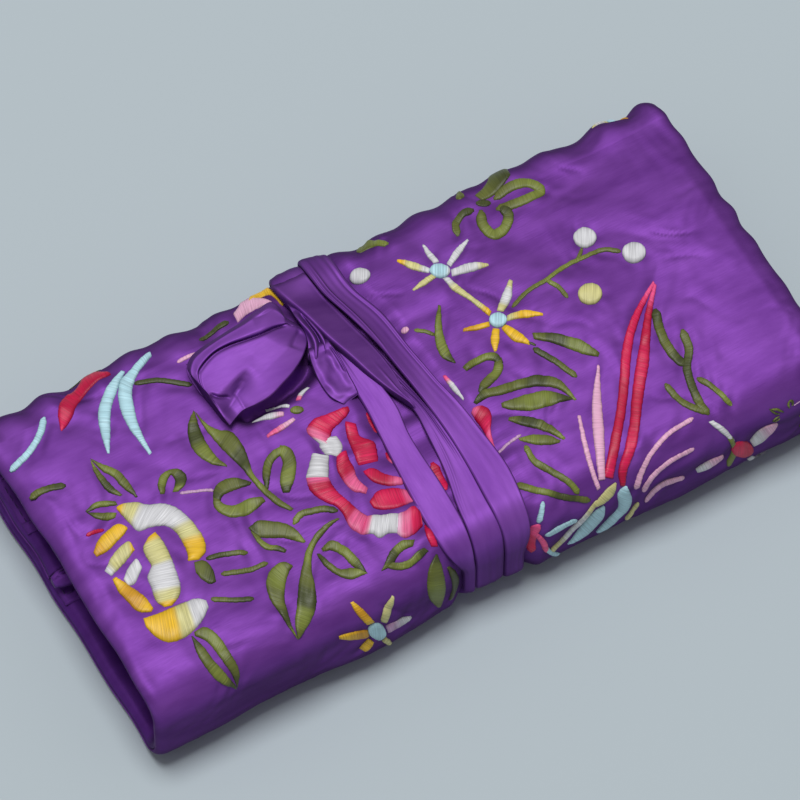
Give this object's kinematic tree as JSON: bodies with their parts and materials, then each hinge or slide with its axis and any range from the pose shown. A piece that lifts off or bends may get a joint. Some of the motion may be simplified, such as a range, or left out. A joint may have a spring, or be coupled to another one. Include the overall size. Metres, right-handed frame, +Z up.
{
  "type": "jewelry roll",
  "caption": "Rolled padded satin pouch for jewelry, folded in on itself and tied round the middle with a wound ribbon; opens flat to zipped pockets and a ring bar",
  "frame": {"origin": "on the table under the middle of the closed roll", "axes": "+X along the roll, -Y towards its near long side, +Z up"},
  "size_m": [0.2, 0.1006, 0.0395],
  "materials": {
    "satin_cover": "satin",
    "satin_fold": "satin",
    "ribbon_satin": "satin",
    "wadding": "matte",
    "lining_satin": "satin",
    "pocket_satin": "satin",
    "zip_tape": "matte",
    "gold_metal": "polished",
    "embroidery_thread": "satin"
  },
  "bodies": {
    "root": {"bottom_cover": "satin_cover", "bottom_padding": "wadding", "bottom_lining": "lining_satin", "fold_near_bottom": "satin_fold", "bottom_edge_binding": "satin_cover", "bottom_pocket_cloth": "pocket_satin", "bottom_zip_tape": "zip_tape", "ring_bar": "pocket_satin", "ring_bar_seam_tab": "pocket_satin", "snap_stud": "gold_metal", "tie_winding": "ribbon_satin", "tie_anchor_patch": "ribbon_satin"},
    "near_spine": {"near_spine_cover": "satin_cover", "near_spine_padding": "wadding", "near_spine_lining": "lining_satin", "fold_near_top": "satin_fold"},
    "top_panel": {"top_cover": "satin_cover", "top_padding": "wadding", "top_lining": "lining_satin", "fold_far_top": "satin_fold", "top_pocket_cloth": "pocket_satin", "top_zip_tape": "zip_tape", "tie_knot": "ribbon_satin"},
    "far_spine": {"far_spine_cover": "satin_cover", "far_spine_padding": "wadding", "far_spine_lining": "lining_satin", "fold_far_flap": "satin_fold"},
    "inner_flap": {"flap_cover": "satin_cover", "flap_padding": "wadding", "flap_lining": "lining_satin", "flap_edge_binding": "satin_cover", "flap_pocket_cloth": "pocket_satin", "flap_zip_tape": "zip_tape"},
    "bottom_slider": {"bottom_zip_slider": "gold_metal"},
    "bottom_pull": {"bottom_zip_pull": "gold_metal"},
    "flap_slider": {"flap_zip_slider": "gold_metal"},
    "flap_pull": {"flap_zip_pull": "gold_metal"},
    "top_slider": {"top_zip_slider": "gold_metal"},
    "top_pull": {"top_zip_pull": "gold_metal"},
    "ring_strap": {"ring_bar_strap": "pocket_satin", "snap_socket": "gold_metal"},
    "tie_end": {"tie_end": "ribbon_satin"},
    "tie_tail": {"tie_tail": "ribbon_satin"}
  },
  "joints": [
    {"name": "unroll", "type": "hinge", "parent": "root", "child": "near_spine", "pos_m": [0, -0.04509, 0.00391], "axis": [1, 0, 0], "range_deg": [0, 90], "deforming": ["fold_near_bottom", "tie_winding"]},
    {"name": "unroll_top", "type": "hinge", "parent": "near_spine", "child": "top_panel", "pos_m": [0, -0.04509, 0.02609], "axis": [1, 0, 0], "range_deg": [0, 90], "deforming": ["fold_near_top"]},
    {"name": "unroll_far", "type": "hinge", "parent": "top_panel", "child": "far_spine", "pos_m": [0, 0.04509, 0.02609], "axis": [1, 0, 0], "range_deg": [0, 90], "deforming": ["fold_far_top"]},
    {"name": "unroll_flap", "type": "hinge", "parent": "far_spine", "child": "inner_flap", "pos_m": [0, 0.04552, 0.01008], "axis": [1, 0, 0], "range_deg": [0, 90], "deforming": ["fold_far_flap"]},
    {"name": "bottom_zip_open", "type": "slide", "parent": "root", "child": "bottom_slider", "axis": [1, 0, 0], "range_m": [0, 0.1484]},
    {"name": "bottom_pull_lift", "type": "hinge", "parent": "bottom_slider", "child": "bottom_pull", "pos_m": [-0.0742, -0.004, 0.0086], "axis": [0, -1, 0], "range_deg": [0, 50]},
    {"name": "flap_zip_open", "type": "slide", "parent": "inner_flap", "child": "flap_slider", "axis": [1, 0, 0], "range_m": [0, 0.1484]},
    {"name": "flap_pull_lift", "type": "hinge", "parent": "flap_slider", "child": "flap_pull", "pos_m": [-0.0742, 0.0155, 0.0152], "axis": [0, -1, 0], "range_deg": [0, 50]},
    {"name": "top_zip_open", "type": "slide", "parent": "top_panel", "child": "top_slider", "axis": [1, 0, 0], "range_m": [0, 0.1484]},
    {"name": "top_pull_lift", "type": "hinge", "parent": "top_slider", "child": "top_pull", "pos_m": [-0.0742, 0.03, 0.0214], "axis": [0, 1, 0], "range_deg": [0, 50]},
    {"name": "ring_strap_lift", "type": "hinge", "parent": "root", "child": "ring_strap", "pos_m": [0.0623, -0.024, 0.0084], "axis": [0, -1, 0], "range_deg": [0, 80]},
    {"name": "tie_end_lift", "type": "hinge", "parent": "top_panel", "child": "tie_end", "pos_m": [-0.0177, 0.02868, 0.036], "axis": [0, 1, 0], "range_deg": [0, 75]},
    {"name": "tie_tail_lift", "type": "hinge", "parent": "top_panel", "child": "tie_tail", "pos_m": [-0.0138, 0.0197, 0.0352], "axis": [-1, 0, 0], "range_deg": [0, 60]}
  ],
  "couplings": [
    {"joint": "unroll_top", "follows": "unroll", "ratio": 1},
    {"joint": "unroll_far", "follows": "unroll", "ratio": 1},
    {"joint": "unroll_flap", "follows": "unroll", "ratio": 1}
  ]
}
